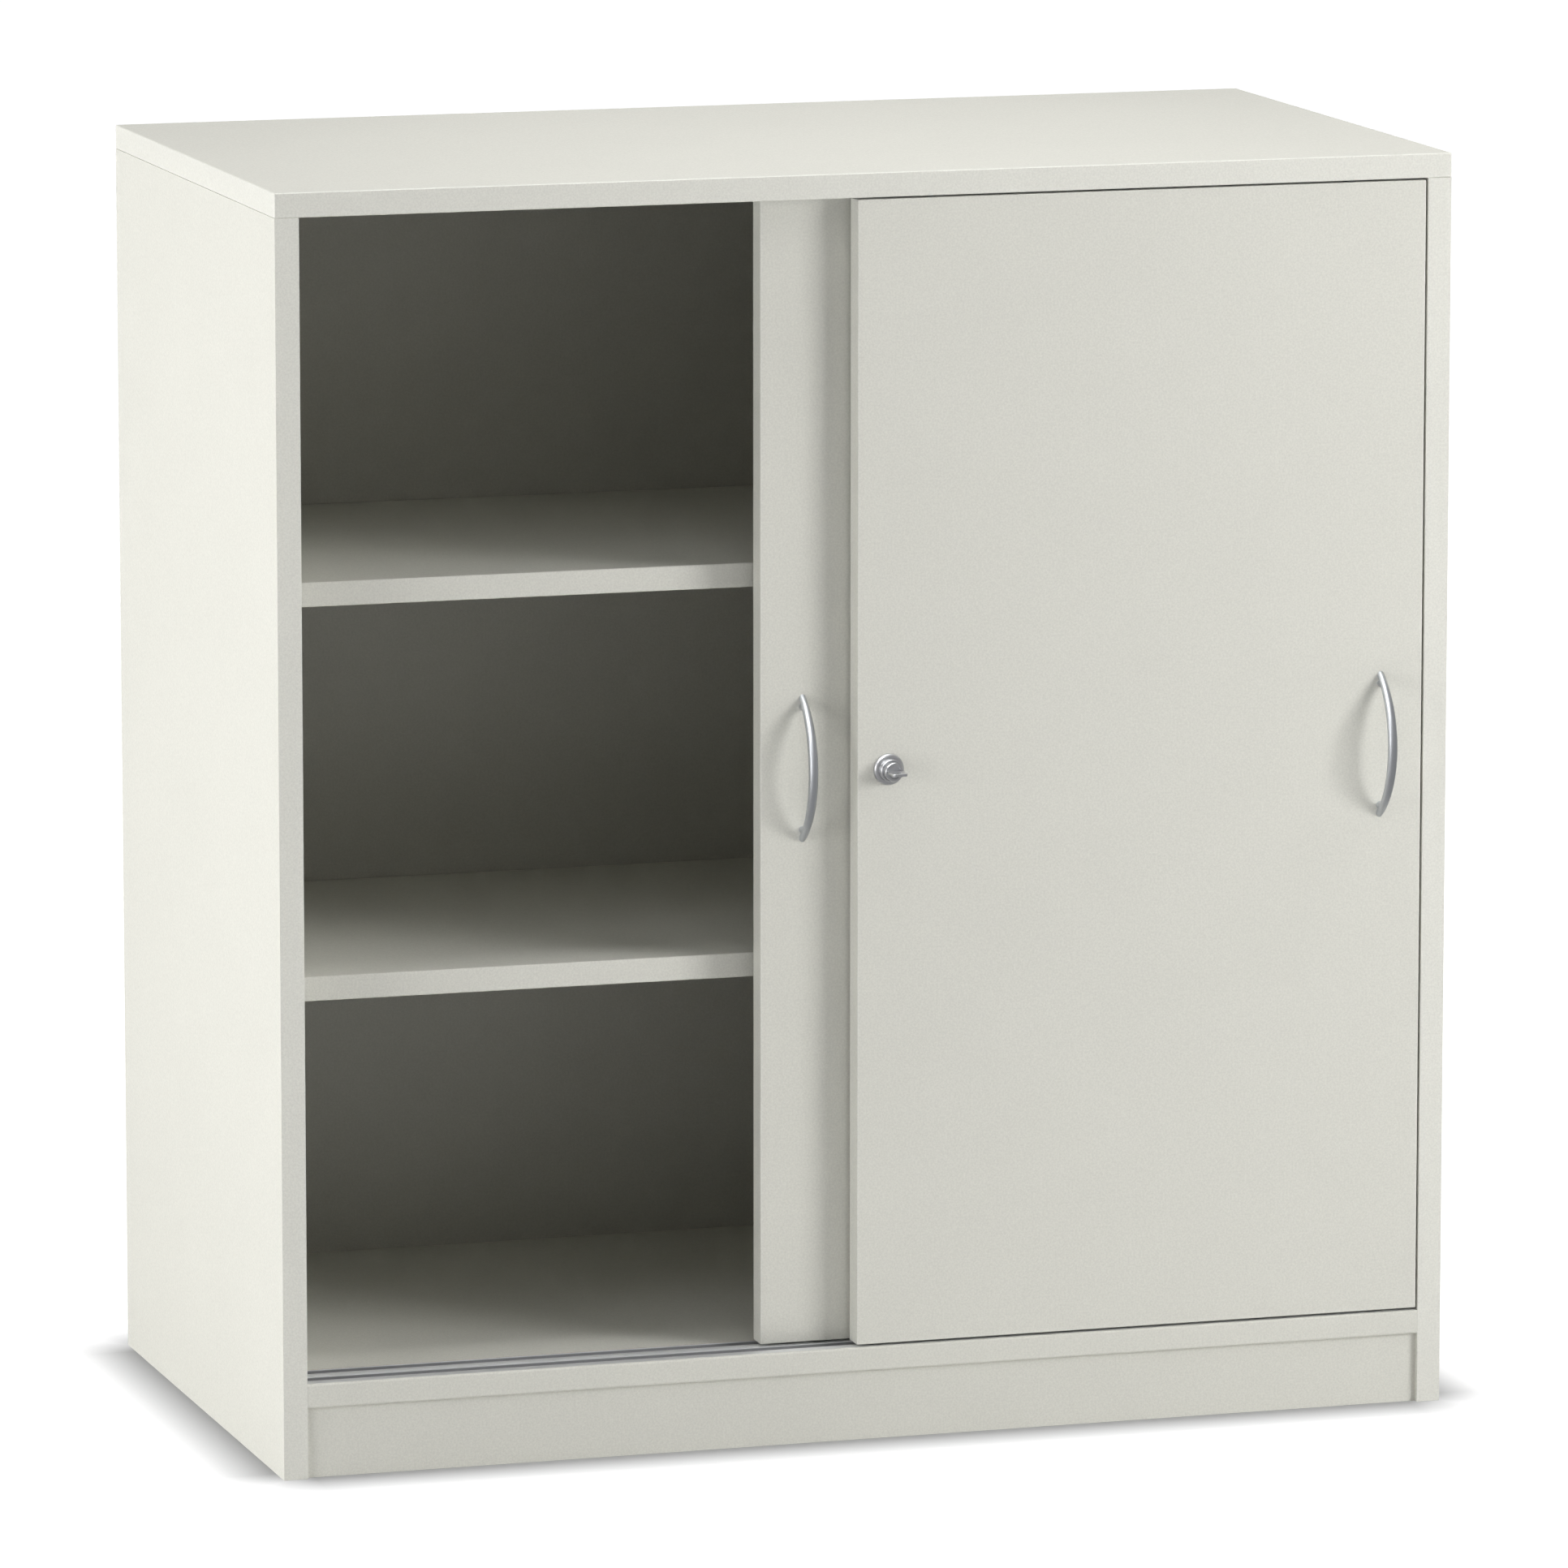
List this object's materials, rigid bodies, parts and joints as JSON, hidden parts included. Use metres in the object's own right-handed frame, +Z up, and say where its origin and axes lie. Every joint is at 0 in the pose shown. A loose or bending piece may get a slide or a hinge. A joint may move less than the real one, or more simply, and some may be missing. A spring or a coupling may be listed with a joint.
{
  "type": "sliding door cabinet",
  "caption": "Office sideboard with a front and a rear panel door that slide past each other in grooved tracks, bow handles, shelves, and a push lock with its key.",
  "frame": {"origin": "middle of the whole box, handles and key included, at floor level", "axes": "+Z up, +X to the right, and the doors face -Y"},
  "size_m": [0.94, 0.5314, 0.988],
  "materials": {
    "board": "light grey melamine-faced board, fine grain, satin",
    "back": "light grey faced back board",
    "aluminium": "natural anodised extrusion",
    "satin": "satin nickel",
    "nickel": "bright nickel plate",
    "steel": "zinc-plated steel",
    "plastic": "grey moulded plastic",
    "beech": "raw beech"
  },
  "bodies": {
    "carcass": {"top_panel": "board", "left_side_panel": "board", "right_side_panel": "board", "bottom_panel": "board", "plinth_board": "board", "back_panel": "back", "lower_shelf": "board", "upper_shelf": "board", "lower_shelf_support_left_front": "nickel", "lower_shelf_support_left_rear": "nickel", "lower_shelf_support_right_front": "nickel", "lower_shelf_support_right_rear": "nickel", "upper_shelf_support_left_front": "nickel", "upper_shelf_support_left_rear": "nickel", "upper_shelf_support_right_front": "nickel", "upper_shelf_support_right_rear": "nickel", "top_dowel_left_front": "beech", "top_dowel_left_rear": "beech", "top_dowel_right_front": "beech", "top_dowel_right_rear": "beech", "bottom_dowel_left_front": "beech", "bottom_dowel_left_rear": "beech", "bottom_dowel_right_front": "beech", "bottom_dowel_right_rear": "beech", "lower_track": "aluminium", "upper_track": "aluminium", "front_door_stop": "plastic", "rear_door_stop": "plastic"},
    "rear_door": {"rear_door_panel": "board", "rear_handle": "satin", "rear_handle_screw_lower": "steel", "rear_handle_screw_upper": "steel", "rear_runner_housing_left": "plastic", "rear_runner_housing_right": "plastic", "rear_runner_axle_left": "steel", "rear_runner_axle_right": "steel", "rear_guide_pin_left": "plastic", "rear_guide_pin_right": "plastic", "strike_plate": "nickel"},
    "front_door": {"front_door_panel": "board", "front_handle": "satin", "front_handle_screw_lower": "steel", "front_handle_screw_upper": "steel", "front_runner_housing_left": "plastic", "front_runner_housing_right": "plastic", "front_runner_axle_left": "steel", "front_runner_axle_right": "steel", "front_guide_pin_left": "plastic", "front_guide_pin_right": "plastic", "lock_rosette": "nickel", "lock_housing": "nickel", "lock_nut": "steel", "lock_spring": "steel"},
    "lock_slider": {"lock_cylinder": "nickel"},
    "lock_key": {"lock_core": "nickel", "key": "nickel"},
    "rear_wheel_left": {"rear_runner_wheel_left": "plastic"},
    "rear_wheel_right": {"rear_runner_wheel_right": "plastic"},
    "front_wheel_left": {"front_runner_wheel_left": "plastic"},
    "front_wheel_right": {"front_runner_wheel_right": "plastic"}
  },
  "joints": [
    {"name": "rear_door_slide", "type": "slide", "parent": "carcass", "child": "rear_door", "axis": [1, 0, 0], "range_m": [-0.3672, 0]},
    {"name": "front_door_slide", "type": "slide", "parent": "carcass", "child": "front_door", "axis": [1, 0, 0], "range_m": [-0.03, 0]},
    {"name": "lock_push", "type": "slide", "parent": "front_door", "child": "lock_slider", "axis": [0, 1, 0], "range_m": [0, 0.006], "stiffness_N_per_m": 400, "springref_m": -0.008},
    {"name": "key_turn", "type": "hinge", "parent": "lock_slider", "child": "lock_key", "pos_m": [0.0135, -0.245, 0.527], "axis": [0, 1, 0], "range_deg": [0, 90]},
    {"name": "rear_wheel_left_spin", "type": "hinge", "parent": "rear_door", "child": "rear_wheel_left", "pos_m": [-0.0373, -0.19325, 0.0788], "axis": [0, 1, 0], "continuous": true},
    {"name": "rear_wheel_right_spin", "type": "hinge", "parent": "rear_door", "child": "rear_wheel_right", "pos_m": [0.3527, -0.19325, 0.0788], "axis": [0, 1, 0], "continuous": true},
    {"name": "front_wheel_left_spin", "type": "hinge", "parent": "front_door", "child": "front_wheel_left", "pos_m": [0.0335, -0.21675, 0.0788], "axis": [0, 1, 0], "continuous": true},
    {"name": "front_wheel_right_spin", "type": "hinge", "parent": "front_door", "child": "front_wheel_right", "pos_m": [0.4045, -0.21675, 0.0788], "axis": [0, 1, 0], "continuous": true}
  ],
  "couplings": [
    {"joint": "rear_wheel_left_spin", "follows": "rear_door_slide", "rad_per_m": 83.333},
    {"joint": "rear_wheel_right_spin", "follows": "rear_door_slide", "rad_per_m": 83.333},
    {"joint": "front_wheel_left_spin", "follows": "front_door_slide", "rad_per_m": 83.333},
    {"joint": "front_wheel_right_spin", "follows": "front_door_slide", "rad_per_m": 83.333}
  ]
}
